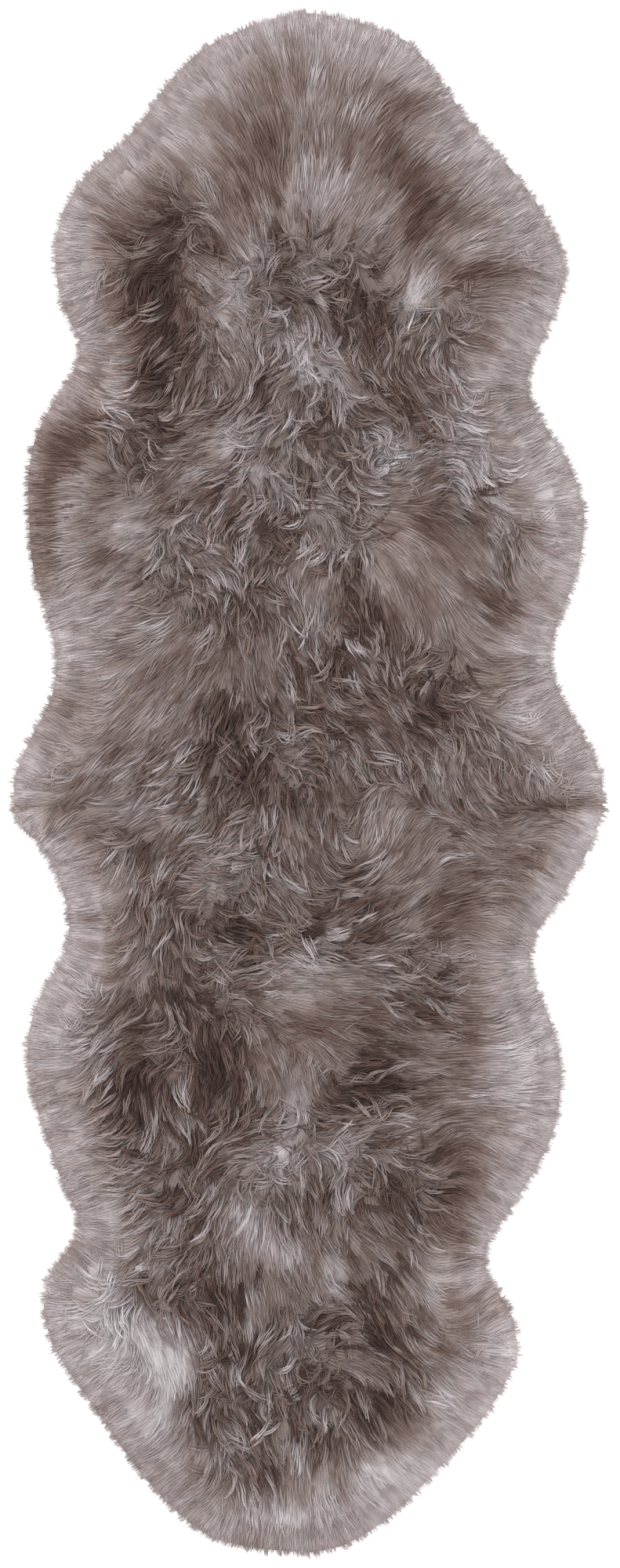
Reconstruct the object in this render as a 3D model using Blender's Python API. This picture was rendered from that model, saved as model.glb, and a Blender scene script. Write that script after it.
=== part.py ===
"""A double sheepskin rug: two tanned pelts, sewn end to end across a straight seam.

Metres, +Z up. The rug lies on the floor, wool side up, with its origin on the floor at the centre
of its box. +Y runs along the spine from the lower pelt to the upper one, and +X to the right.

Each pelt is two solids: the hide, a flat leather sheet, and the fleece, a lumpy slab of long wool
that covers the hide, hangs over its edge and ends in locks that rest on the floor all round.
"""

import math
import random

import bmesh
import bpy
import numpy as np
from mathutils import Quaternion, Vector, noise
from mathutils.geometry import delaunay_2d_cdt

MM = 0.001

# Driving dimensions
SEAM_Y = -27 * MM
HIDE_THICKNESS = 2 * MM
CLEARANCE = 0.3 * MM
# The hide ends this far inside the wool's reach, and its outline has a point at every pitch.
HIDE_SETBACK = 46 * MM
HIDE_PITCH = 24 * MM
POCKET_OVERRUN = 10 * MM

# The pile: its height at the rim and past the shoulder, where it is full, and the furrow that the
# stitches draw it down into along the seam.
RIM_HEIGHT = 15 * MM
PILE_HEIGHT = 46 * MM
SHOULDER = 85 * MM
SEAM_FURROW_DEPTH = 9 * MM
SEAM_FURROW_WIDTH = 26 * MM
# Relief is this share of its full height at the rim.
RELIEF_AT_RIM = 0.25

# The clumps that the wool falls into, longer along the spine than across it. Their middles are
# strewn by a smooth drift, a share of their size, and they rise above a level that most lie at.
TUFT_SIZE = 56 * MM
TUFT_HEIGHT = 14 * MM
TUFT_WIDTH_SHARE = 0.72
TUFT_DRIFT = 0.45
TUFT_DRIFT_SIZE = 2.5 * TUFT_SIZE
TUFT_LEVEL = 0.42

# The points of the fleece's top: a pitch apart, strewn by a share of it and clear of the rim by one.
WOOL_PITCH = 17 * MM
WOOL_STREW = 0.16
WOOL_MARGIN = 0.62

# The rim's locks: the unevenness of their widths, their sway in degrees, and their length, their
# width half way and their height there as shares of the full reach, the root's width and its height.
LOCK_REACH = 32 * MM
LOCK_PITCH = 17.4 * MM
LOCK_UNEVENNESS = 0.3
LOCK_SWAY = 13
LOCK_LENGTHS = (0.66, 1.04)
LOCK_NARROWING = (0.62, 0.8)
LOCK_DROOP = 0.6

LEATHER_COLOUR = (0.52, 0.42, 0.31)
WOOL_COLOUR = (0.29, 0.24, 0.21)
SHARP_ANGLE = 50
CURVE_STEPS = 16
MERGE_DISTANCE = 1e-7
SEED = 7

# How far the wool reaches to each side of the spine, in mm, at stations along a pelt from the seam.
# A row stands at each bulge and waist of the flanks, and where the edge turns between them.
COLUMNS = ("along", "left", "right")
UPPER_SECTIONS = (
    (0, 346, 347),
    (26, 348, 348),
    (78, 328, 327),
    (126, 302, 300),
    (167, 297, 284),
    (214, 305, 295),
    (267, 323, 316),
    (336, 329, 326),
    (395, 329, 310),
    (441, 317, 281),
    (491, 287, 256),
    (535, 264, 274),
    (572, 287, 290),
    (625, 298, 304),
    (680, 294, 284),
    (735, 263, 247),
    (790, 203, 197),
    (845, 165, 158),
    (893, 110, 118),
)
UPPER_TIP = (0, 927)
LOWER_SECTIONS = (
    (0, 346, 347),
    (25, 331, 341),
    (59, 306, 327),
    (114, 285, 294),
    (160, 282, 263),
    (196, 302, 263),
    (235, 322, 281),
    (285, 332, 296),
    (333, 325, 298),
    (388, 308, 287),
    (443, 289, 257),
    (495, 265, 222),
    (530, 299, 205),
    (580, 312, 235),
    (623, 304, 251),
    (662, 281, 239),
    (717, 242, 205),
    (772, 203, 156),
    (827, 153, 102),
    (860, 100, 52),
)
LOWER_TIP = (2, 873)

# Broad swells and hollows of the fleece, in mm: the middle, the half width, the half length, the
# turn from the spine in degrees, and the height, which is negative for a hollow or a parting.
SWELL_COLUMNS = ("x", "y", "half_width", "half_length", "turn", "height")
SWELLS = (
    (-168, 560, 26, 100, 8, -11),
    (-250, 600, 42, 95, -6, 5),
    (-60, 730, 70, 60, 30, 4),
    (20, 560, 60, 60, 0, -7),
    (110, 600, 30, 110, -14, -6),
    (180, 680, 90, 50, 30, -5),
    (250, 560, 45, 90, 10, 5),
    (10, 480, 34, 60, 15, 6),
    (-180, 480, 60, 26, 10, -7),
    (-325, 345, 22, 90, -4, -8),
    (-110, 400, 80, 60, 20, 4),
    (20, 330, 60, 36, -10, -8),
    (235, 320, 28, 60, 10, -6),
    (185, 420, 40, 90, 24, 6),
    (-60, 210, 90, 40, 0, 4),
    (80, 180, 40, 60, 35, -6),
    (-100, 40, 30, 60, 12, -9),
    (150, 50, 110, 22, 8, -5),
    (285, 30, 50, 40, 0, 5),
    (-40, -150, 60, 24, -30, -7),
    (60, -120, 90, 50, 10, 4),
    (-190, -300, 34, 130, -6, -10),
    (-285, -330, 42, 110, -4, 6),
    (-60, -360, 40, 90, 10, 5),
    (70, -360, 60, 18, 8, -8),
    (120, -440, 100, 26, 12, 5),
    (120, -510, 60, 24, -20, -6),
    (-10, -470, 50, 90, 16, 6),
    (-160, -500, 40, 80, 0, -9),
    (270, -330, 34, 110, 0, 6),
    (-170, -610, 60, 40, 20, 6),
    (-60, -660, 90, 44, 10, -8),
    (60, -570, 40, 70, 28, -6),
    (150, -680, 60, 40, 30, 4),
    (-20, -830, 110, 30, 0, 4),
)


def along_curve(points, pitch):
    """Points a pitch apart along a Catmull-Rom curve through the given ones, with its ends kept."""
    knots = np.array(points, float)
    padded = np.vstack([2 * knots[0] - knots[1], knots, 2 * knots[-1] - knots[-2]])
    fine = []
    for before, start, end, after in zip(padded, padded[1:], padded[2:], padded[3:]):
        for t in np.linspace(0, 1, CURVE_STEPS, endpoint=False):
            fine.append(
                0.5
                * (
                    2 * start
                    + (end - before) * t
                    + (2 * before - 5 * start + 4 * end - after) * t**2
                    + (3 * start - before - 3 * end + after) * t**3
                )
            )
    return evenly_spaced(np.array(fine + [knots[-1]]), pitch)


def evenly_spaced(line, pitch):
    """The line again, with points about a pitch apart."""
    travelled = np.concatenate([[0], np.cumsum(np.linalg.norm(np.diff(line, axis=0), axis=1))])
    stations = np.linspace(0, travelled[-1], max(2, round(travelled[-1] / pitch) + 1))
    return np.column_stack([np.interp(stations, travelled, line[:, axis]) for axis in (0, 1)])


def shifted_along(line, shaker):
    """The line with its inner points moved a little along it, so that the steps are uneven."""
    shares = [shaker.uniform(-LOCK_UNEVENNESS, LOCK_UNEVENNESS) for _ in line[1:-1]]
    shifted = line.copy()
    for i, share in enumerate(shares, 1):
        neighbour = line[i + 1] if share > 0 else line[i - 1]
        shifted[i] = line[i] + abs(share) * (neighbour - line[i])
    return shifted


def outward_normals(line):
    """The outward direction at each point of a rim that runs anticlockwise, level at both ends."""
    ahead = np.gradient(line, axis=0)
    normals = np.column_stack([ahead[:, 1], -ahead[:, 0]])
    normals /= np.linalg.norm(normals, axis=1)[:, None]
    normals[0] = (math.copysign(1, normals[0][0]), 0)
    normals[-1] = (math.copysign(1, normals[-1][0]), 0)
    return normals


class Pelt:
    """The outline of one pelt: its name, the way it runs from the seam, and its sections."""

    def __init__(self, name, toward, sections, tip):
        self.name = name
        self.toward = toward
        self.seam_y = SEAM_Y + toward * CLEARANCE / 2
        rows = [dict(zip(COLUMNS, row)) for row in sections]
        left = [(-row["left"], row["along"]) for row in rows]
        right = [(row["right"], row["along"]) for row in rows]
        # Anticlockwise seen from above: up the right flank of the upper pelt and down its left.
        outline = right + [tip] + left[::-1] if toward > 0 else left + [tip] + right[::-1]
        self.knots = [(x * MM, self.seam_y + toward * along * MM) for x, along in outline]

    def rim(self, setback, pitch):
        """The pelt's edge at a setback from the wool's reach, from one end of the seam to the other."""
        reach = along_curve(self.knots, pitch)
        inner = evenly_spaced(reach - outward_normals(reach) * setback, pitch)
        inner[0][1] = inner[-1][1] = self.seam_y
        return inner

    def seam_edge(self, rim, pitch):
        """The points between the rim's last point and its first, along the seam."""
        count = max(1, round(abs(rim[-1][0] - rim[0][0]) / pitch))
        return np.linspace(rim[-1], rim[0], count + 1)[1:-1]


def distance_to_line(points, line):
    """How far each point is from a line of points."""
    nearest = np.full(len(points), np.inf)
    for start, end in zip(line, line[1:]):
        run = end - start
        share = np.clip((points - start) @ run / (run @ run), 0, 1)
        nearest = np.minimum(nearest, np.linalg.norm(points - start - share[:, None] * run, axis=1))
    return nearest


def inside_loop(points, loop):
    """Which points lie inside a closed loop, by counting the edges that a ray to the right meets."""
    inside = np.zeros(len(points), bool)
    for (ax, ay), (bx, by) in zip(loop, np.roll(loop, -1, axis=0)):
        if ay == by:
            continue
        spans = (points[:, 1] < ay) != (points[:, 1] < by)
        inside ^= spans & (points[:, 0] < ax + (points[:, 1] - ay) * (bx - ax) / (by - ay))
    return inside


def swell_height(x, y):
    """What the broad swells and hollows add to the pile at a point."""
    total = 0.0
    for row in SWELLS:
        swell = dict(zip(SWELL_COLUMNS, row))
        turn = math.radians(swell["turn"])
        dx, dy = x / MM - swell["x"], y / MM - swell["y"]
        across = (dx * math.cos(turn) - dy * math.sin(turn)) / swell["half_width"]
        along = (dx * math.sin(turn) + dy * math.cos(turn)) / swell["half_length"]
        total += swell["height"] * MM * math.exp(-(across**2) - along**2)
    return total


def tuft_height(x, y):
    """The wool's own clumps: rounded cushions, with a groove where two of them meet."""
    drift = noise.noise_vector(Vector((x, y, 0)) / TUFT_DRIFT_SIZE) * TUFT_DRIFT
    place = Vector((x, TUFT_WIDTH_SHARE * y, 0)) / TUFT_SIZE + drift
    distances, _ = noise.voronoi(place)
    return TUFT_HEIGHT * (TUFT_LEVEL - distances[0] ** 2)


def pile_height(x, y, from_rim):
    """How high the wool stands at a point that is so far inside the rim."""
    rise = min(from_rim / SHOULDER, 1)
    roundness = math.sqrt(1 - (1 - rise) ** 2)
    relief = swell_height(x, y) + tuft_height(x, y)
    relief *= RELIEF_AT_RIM + (1 - RELIEF_AT_RIM) * rise
    furrow = SEAM_FURROW_DEPTH * math.exp(-(((y - SEAM_Y) / SEAM_FURROW_WIDTH) ** 2)) * roundness
    return RIM_HEIGHT + (PILE_HEIGHT - RIM_HEIGHT) * roundness + relief - furrow


def wool_points(loop, shaker):
    """Points a wool pitch apart in staggered rows inside the loop, a little out of line."""
    low, high = loop.min(axis=0), loop.max(axis=0)
    row_pitch = WOOL_PITCH * math.sin(math.radians(60))
    strew = WOOL_PITCH * WOOL_STREW
    places = []
    for row, y in enumerate(np.arange(low[1], high[1], row_pitch)):
        for x in np.arange(low[0] + row % 2 * WOOL_PITCH / 2, high[0], WOOL_PITCH):
            places.append((x + shaker.uniform(-strew, strew), y + shaker.uniform(-strew, strew)))
    places = np.array(places)
    closed = np.vstack([loop, loop[:1]])
    clear = distance_to_line(places, closed) > WOOL_PITCH * WOOL_MARGIN
    return places[clear & inside_loop(places, loop)]


def filled(loop, inner):
    """The triangles that fill a loop through its inner points, as indices into loop plus inner."""
    points = [Vector(p) for p in np.vstack([loop, inner])]
    count = len(loop)
    edges = [(i, (i + 1) % count) for i in range(count)]
    _, _, faces, sources, _, _ = delaunay_2d_cdt(points, edges, [], 1, MERGE_DISTANCE)
    return [[sources[i][0] for i in face] for face in faces]


def slab_of_wool(pelt, shaker):
    """The fleece before it has locks: a lumpy top, a level foot and an upright wall between them."""
    rim = shifted_along(pelt.rim(LOCK_REACH, LOCK_PITCH), shaker)
    loop = np.vstack([rim, pelt.seam_edge(rim, WOOL_PITCH)])
    inner = wool_points(loop, shaker)
    places = np.vstack([loop, inner])
    depth = distance_to_line(places, rim)
    slab = bmesh.new()
    top = [slab.verts.new((x, y, pile_height(x, y, d))) for (x, y), d in zip(places, depth)]
    foot = [slab.verts.new((x, y, 0)) for x, y in loop]
    for corners in filled(loop, inner):
        slab.faces.new([top[i] for i in corners])
    slab.faces.new(foot[::-1])
    count = len(loop)
    walls = []
    for i in range(count):
        j = (i + 1) % count
        walls.append(slab.faces.new((foot[i], foot[j], top[j], top[i])))
    return slab, walls[: len(rim) - 1]


def drawn_out(slab, face, centre, across, width_share, height):
    """Extrudes a face of the rim wall to a new place, narrower and lower, with its foot on the floor."""
    end = bmesh.ops.extrude_discrete_faces(slab, faces=[face])["faces"][0]
    old = end.calc_center_median()
    for corner in end.verts:
        side = (corner.co - old).dot(across) * width_share
        top = height if corner.co.z > old.z else 0
        corner.co = Vector((centre.x, centre.y, top)) + across * side
    return end


def rooms_for_locks(walls):
    """The share of its width that each lock has at its tip: less than 1 in a waist, where they crowd."""
    tips = [wall.calc_center_median() + wall.normal * LOCK_REACH for wall in walls]
    gaps = [LOCK_PITCH] + [(b - a).length for a, b in zip(tips, tips[1:])] + [LOCK_PITCH]
    return [min(1, before / LOCK_PITCH, after / LOCK_PITCH) for before, after in zip(gaps, gaps[1:])]


def grow_lock(slab, wall, room, shaker):
    """Draws a face of the rim wall out into a four-sided lock that tapers to a point on the floor."""
    root = wall.calc_center_median()
    ahead = Vector((wall.normal.x, wall.normal.y, 0)).normalized()
    across = Vector((-ahead.y, ahead.x, 0))
    swept = ahead.copy()
    sway = math.radians(shaker.uniform(-LOCK_SWAY, LOCK_SWAY)) * room**2
    swept.rotate(Quaternion((0, 0, 1), sway))
    length = LOCK_REACH * shaker.uniform(*LOCK_LENGTHS)
    half_way = root + (ahead + swept) / 2 * length / 2
    narrowing = shaker.uniform(*LOCK_NARROWING) * room
    middle = drawn_out(slab, wall, half_way, across, narrowing, RIM_HEIGHT * LOCK_DROOP)
    tip = root + swept * length
    tip.z = 0
    end = drawn_out(slab, middle, tip, across, 1, 0)
    bmesh.ops.pointmerge(slab, verts=end.verts, merge_co=tip)


def material(name, colour, roughness):
    """A plain finish of one colour for a soft, dull surface."""
    made = bpy.data.materials.new(name)
    made.use_nodes = True
    shader = made.node_tree.nodes["Principled BSDF"]
    shader.inputs["Base Color"].default_value = (*colour, 1)
    shader.inputs["Roughness"].default_value = roughness
    shader.inputs["Metallic"].default_value = 0
    return made


def object_from(shape, name, finish):
    """Turns a bmesh into a named object with its material, shaded smooth but for its sharp edges."""
    mesh = bpy.data.meshes.new(name)
    shape.to_mesh(mesh)
    shape.free()
    mesh.materials.append(finish)
    mesh.shade_smooth()
    mesh.set_sharp_from_angle(angle=math.radians(SHARP_ANGLE))
    made = bpy.data.objects.new(name, mesh)
    bpy.context.scene.collection.objects.link(made)
    return made


def prism(loop, low, high):
    """A flat sheet of the loop's outline between two heights."""
    shape = bmesh.new()
    face = shape.faces.new([shape.verts.new((x, y, low)) for x, y in loop])
    raised = bmesh.ops.extrude_face_region(shape, geom=[face])["geom"]
    corners = [part for part in raised if isinstance(part, bmesh.types.BMVert)]
    bmesh.ops.translate(shape, verts=corners, vec=(0, 0, high - low))
    bmesh.ops.recalc_face_normals(shape, faces=shape.faces)
    return shape


def make_hide(pelt, finish):
    """The tanned skin: a flat leather sheet that ends square at the seam."""
    rim = pelt.rim(HIDE_SETBACK, HIDE_PITCH)
    return object_from(prism(rim, 0, HIDE_THICKNESS), f"hide_{pelt.name}", finish)


def make_pocket(pelt, finish):
    """The room that the hide takes up under the fleece, past the seam at its open end."""
    hide = pelt.rim(HIDE_SETBACK, HIDE_PITCH)
    rim = hide + outward_normals(hide) * CLEARANCE
    past_seam = np.array([0, -pelt.toward * POCKET_OVERRUN])
    loop = np.vstack([rim, rim[-1] + past_seam, rim[0] + past_seam])
    pocket = object_from(prism(loop, -MM, HIDE_THICKNESS + CLEARANCE), f"pocket_{pelt.name}", finish)
    pocket.hide_render = True
    pocket.display_type = "WIRE"
    return pocket


def make_fleece(pelt, finish, shaker):
    """The wool of one pelt: the lumpy slab with its rim of locks, hollowed below for the hide."""
    slab, rim_walls = slab_of_wool(pelt, shaker)
    slab.normal_update()
    for wall, room in zip(rim_walls, rooms_for_locks(rim_walls)):
        grow_lock(slab, wall, room, shaker)
    # No lock reaches over the seam.
    for corner in slab.verts:
        if (corner.co.y - pelt.seam_y) * pelt.toward < 0:
            corner.co.y = pelt.seam_y
    fleece = object_from(slab, f"fleece_{pelt.name}", finish)
    cut = fleece.modifiers.new("room for the hide", "BOOLEAN")
    cut.operation = "DIFFERENCE"
    cut.solver = "EXACT"
    cut.object = make_pocket(pelt, finish)
    return fleece


def centre_on_floor(objects):
    """Slides the whole rug so that the middle of its box is above the origin."""
    places = np.array([corner.co for made in objects for corner in made.data.vertices])
    middle = (places.min(axis=0) + places.max(axis=0)) / 2
    for made in bpy.data.objects:
        made.location = (-middle[0], -middle[1], 0)


def main():
    for old in list(bpy.data.objects):
        bpy.data.objects.remove(old)
    leather = material("tanned_leather", LEATHER_COLOUR, roughness=0.85)
    wool = material("taupe_wool", WOOL_COLOUR, roughness=0.9)
    shaker = random.Random(SEED)
    noise.seed_set(SEED)
    pelts = (
        Pelt("upper", 1, UPPER_SECTIONS, UPPER_TIP),
        Pelt("lower", -1, LOWER_SECTIONS, LOWER_TIP),
    )
    fleeces = []
    for pelt in pelts:
        make_hide(pelt, leather)
        fleeces.append(make_fleece(pelt, wool, shaker))
    centre_on_floor(fleeces)


main()
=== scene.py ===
# %% [markdown]
# A double sheepskin rug lies on a pale floor and is seen from straight above.
# Two tanned pelts are sewn end to end. Their long taupe wool hides the leather, so nearly all
# that shows is wool: pointed locks that lie over one another, combed out smooth along the rim
# and tossed about in the middle.
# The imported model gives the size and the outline. This script clothes it in wool, leather and thread.

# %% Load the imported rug
import math

import bmesh
import bpy
import numpy as np
from mathutils import Matrix, Vector, noise
from mathutils.bvhtree import BVHTree


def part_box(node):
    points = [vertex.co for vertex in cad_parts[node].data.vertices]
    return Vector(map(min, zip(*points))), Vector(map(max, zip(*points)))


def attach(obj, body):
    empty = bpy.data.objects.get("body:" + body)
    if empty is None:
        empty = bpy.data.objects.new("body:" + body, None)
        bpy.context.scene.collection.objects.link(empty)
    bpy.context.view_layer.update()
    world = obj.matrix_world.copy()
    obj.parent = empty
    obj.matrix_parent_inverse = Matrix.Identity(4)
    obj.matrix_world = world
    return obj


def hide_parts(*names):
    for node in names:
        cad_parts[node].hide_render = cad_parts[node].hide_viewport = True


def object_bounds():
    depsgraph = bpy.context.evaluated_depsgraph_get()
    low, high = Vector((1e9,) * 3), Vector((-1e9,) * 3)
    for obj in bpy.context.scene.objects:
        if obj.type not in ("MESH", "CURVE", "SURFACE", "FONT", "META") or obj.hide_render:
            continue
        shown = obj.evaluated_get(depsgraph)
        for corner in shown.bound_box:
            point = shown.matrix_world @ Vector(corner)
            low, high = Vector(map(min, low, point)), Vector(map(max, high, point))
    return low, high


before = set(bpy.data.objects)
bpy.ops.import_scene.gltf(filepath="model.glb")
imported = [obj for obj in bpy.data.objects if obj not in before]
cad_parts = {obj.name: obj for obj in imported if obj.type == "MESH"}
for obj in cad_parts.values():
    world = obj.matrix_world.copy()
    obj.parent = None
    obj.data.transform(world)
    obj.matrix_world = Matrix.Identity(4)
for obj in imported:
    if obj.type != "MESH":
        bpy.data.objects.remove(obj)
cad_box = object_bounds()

MM = 0.001
SEED = 41
chance = np.random.default_rng(SEED)
noise.seed_set(SEED)
print("rug, mm:", [round((b - a) / MM) for a, b in zip(*cad_box)])

# %% [markdown]
# Colours are written as the sRGB hex values that a screen shows.
# Blender's shaders reckon in linear light, so one function turns them.
# A second function adds a shader node with its settings and links, and serves every material.
# Short ones mix two colours, reckon with two numbers, finish a material and place a piece.

# %% Colour and node helpers


def linear(hex_colour):
    parts = [int(hex_colour[i : i + 2], 16) / 255 for i in (1, 3, 5)]
    return tuple(p / 12.92 if p <= 0.04045 else ((p + 0.055) / 1.055) ** 2.4 for p in parts) + (1.0,)


def node(tree, kind, inputs=(), **settings):
    made = tree.nodes.new("ShaderNode" + kind)
    for name, value in settings.items():
        setattr(made, name, value)
    for name, value in dict(inputs).items():
        if isinstance(value, bpy.types.NodeSocket):
            tree.links.new(value, made.inputs[name])
        else:
            made.inputs[name].default_value = value
    return made


def new_material(name):
    made = bpy.data.materials.new(name)
    made.use_nodes = True
    made.node_tree.nodes.clear()
    return made, made.node_tree


def blend(tree, share, a, b, how="MIX"):
    inputs = {"Factor": share, "A": a, "B": b}
    return node(tree, "Mix", inputs, data_type="RGBA", blend_type=how).outputs["Result"]


def reckon(tree, operation, a, b):
    return node(tree, "Math", {0: a, 1: b}, operation=operation).outputs["Value"]


def put_on(pieces, material, look):
    surface = node(material.node_tree, "BsdfPrincipled", look)
    node(material.node_tree, "OutputMaterial", {"Surface": surface.outputs["BSDF"]})
    for piece in pieces:
        piece.data.materials.append(material)


def placed(name, data):
    made = bpy.data.objects.new(name, data)
    bpy.context.scene.collection.objects.link(made)
    return made


# %% [markdown]
# Everything on a sheepskin depends on how far it is from the edge.
# The hide stops well inside the wool, which grows past it and droops to the floor.
# So the first measure is the rim depth: how far a point is inside the reach of the wool.
# The hides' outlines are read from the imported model, and the depth is worked out on a grid of
# squares of 5 mm. Distances on a grid are quick to look up for tens of thousands of strands.
# Rays shot straight down tell where the hides are, and later how high the fleece is.

# %% Measure the rim depth
CELL = 5 * MM
MARGIN = 25 * MM
FACING_UP = 0.9
WOOL_REACH = 46 * MM
SEAM_Y = (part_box("hide_upper")[0].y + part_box("hide_lower")[1].y) / 2
HIDES = ["hide_upper", "hide_lower"]
FLEECES = ["fleece_upper", "fleece_lower"]


def merged_copy(name):
    shape = bmesh.new()
    shape.from_mesh(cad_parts[name].data)
    bmesh.ops.remove_doubles(shape, verts=shape.verts, dist=0.01 * MM)
    return shape


def outline_edges(name):
    shape = merged_copy(name)
    under = [f for f in shape.faces if f.normal.z < FACING_UP]
    bmesh.ops.delete(shape, geom=under, context="FACES")
    rim = [e for e in shape.edges if e.is_boundary]
    rim = [e for e in rim if max(abs(v.co.y - SEAM_Y) for v in e.verts) > 1 * MM]
    pairs = np.array([[v.co.xy[:] for v in e.verts] for e in rim])
    shape.free()
    return pairs


def distance_to(pairs, points):
    start, along = pairs[:, 0], pairs[:, 1] - pairs[:, 0]
    length_squared = (along**2).sum(axis=1)
    nearest = np.full(len(points), np.inf)
    for a, d, l in zip(start, along, length_squared):
        share = np.clip(((points - a) @ d) / l, 0, 1)
        gap = points - a - share[:, None] * d
        nearest = np.minimum(nearest, np.hypot(gap[:, 0], gap[:, 1]))
    return nearest


grid_x = np.arange(cad_box[0].x - MARGIN, cad_box[1].x + MARGIN, CELL)
grid_y = np.arange(cad_box[0].y - MARGIN, cad_box[1].y + MARGIN, CELL)
grid_points = np.stack(np.meshgrid(grid_x, grid_y, indexing="ij"), axis=-1).reshape(-1, 2)
hide_rims = np.concatenate([outline_edges(name) for name in HIDES])


def height_over(names):
    trees = [BVHTree.FromBMesh(merged_copy(name)) for name in names]
    tops = []
    for x, y in grid_points:
        hits = [t.ray_cast(Vector((x, y, 1)), Vector((0, 0, -1)))[0] for t in trees]
        tops.append(max([h.z for h in hits if h], default=0.0))
    return np.array(tops).reshape(len(grid_x), len(grid_y))


gap = distance_to(hide_rims, grid_points).reshape(len(grid_x), len(grid_y))
depth_map = WOOL_REACH + np.where(height_over(HIDES) > 0, gap, -gap)
print("outline pieces:", len(hide_rims), " deepest point, mm:", round(depth_map.max() / MM))

# %% [markdown]
# A value on the grid is looked up between its squares by a weighted mean of the four corners.
# Some values later come as a pair: how much there is to begin with, and what a full share adds.
# The same grid holds the height of the wool, the way it is combed and its shade.

# %% Look up and soften a grid


def look_up(field, spots):
    u = np.clip((spots[..., 0] - grid_x[0]) / CELL, 0, len(grid_x) - 1.001)
    v = np.clip((spots[..., 1] - grid_y[0]) / CELL, 0, len(grid_y) - 1.001)
    i, j = u.astype(int), v.astype(int)
    a, b = u - i, v - j
    left = field[i, j] * (1 - b) + field[i, j + 1] * b
    right = field[i + 1, j] * (1 - b) + field[i + 1, j + 1] * b
    return left * (1 - a) + right * a


def softened(field, times):
    for _ in range(times):
        padded = np.pad(field, 1, mode="edge")
        field = (padded[:-2, 1:-1] + padded[2:, 1:-1] + 2 * padded[1:-1, 1:-1]) / 4
        padded = np.pad(field, 1, mode="edge")
        field = (padded[1:-1, :-2] + padded[1:-1, 2:] + 2 * padded[1:-1, 1:-1]) / 4
    return field


def smooth_step(low, high, value):
    t = np.clip((value - low) / (high - low), 0, 1)
    return t * t * (3 - 2 * t)


def scaled(pair, share):
    return pair[0] + pair[1] * share


# %% [markdown]
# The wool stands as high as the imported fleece, lumps and all.
# Rays shot straight down on the fleece read that height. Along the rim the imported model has
# coarse locks, so there the height follows a curve instead, from the floor up to the slab's wall.
# Over the seam the wool dips, most at the right end, where the photo shows a furrow. The left end
# has a fainter one, and between the two ends the wool nearly closes over it.

# %% Read the height of the wool
WALL_DEPTH = 33 * MM
WALL_HEIGHT = 15 * MM
DROOP_POWER = 0.7
SEAM_DIP = 9 * MM
SEAM_BREADTH = 9 * MM
SEAM_SHOWS = (170 * MM, 290 * MM)
SEAM_FAINTER_LEFT = 0.35
SEAM_BETWEEN = 0.2
DIP_AT_MOST = 0.4

ray_height = height_over(FLEECES)
droop = WALL_HEIGHT * np.clip(depth_map / WALL_DEPTH, 0, 1) ** DROOP_POWER
height_map = np.where(depth_map > WALL_DEPTH, np.maximum(ray_height, WALL_HEIGHT), droop)
x_map, y_map = (part.reshape(depth_map.shape) for part in grid_points.T)
right_end, left_end = (smooth_step(*SEAM_SHOWS, way * x_map) for way in (1, -1))
seam_map = np.exp(-(((y_map - SEAM_Y) / SEAM_BREADTH) ** 2))
seam_map *= SEAM_BETWEEN + (1 - SEAM_BETWEEN) * (right_end + SEAM_FAINTER_LEFT * left_end)
dip = np.minimum(SEAM_DIP, DIP_AT_MOST * height_map) * seam_map
height_map = softened(height_map, times=2) - dip
inward_x, inward_y = np.gradient(softened(depth_map, times=6), CELL)
print("highest wool, mm:", round(height_map.max() / MM, 1))
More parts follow.
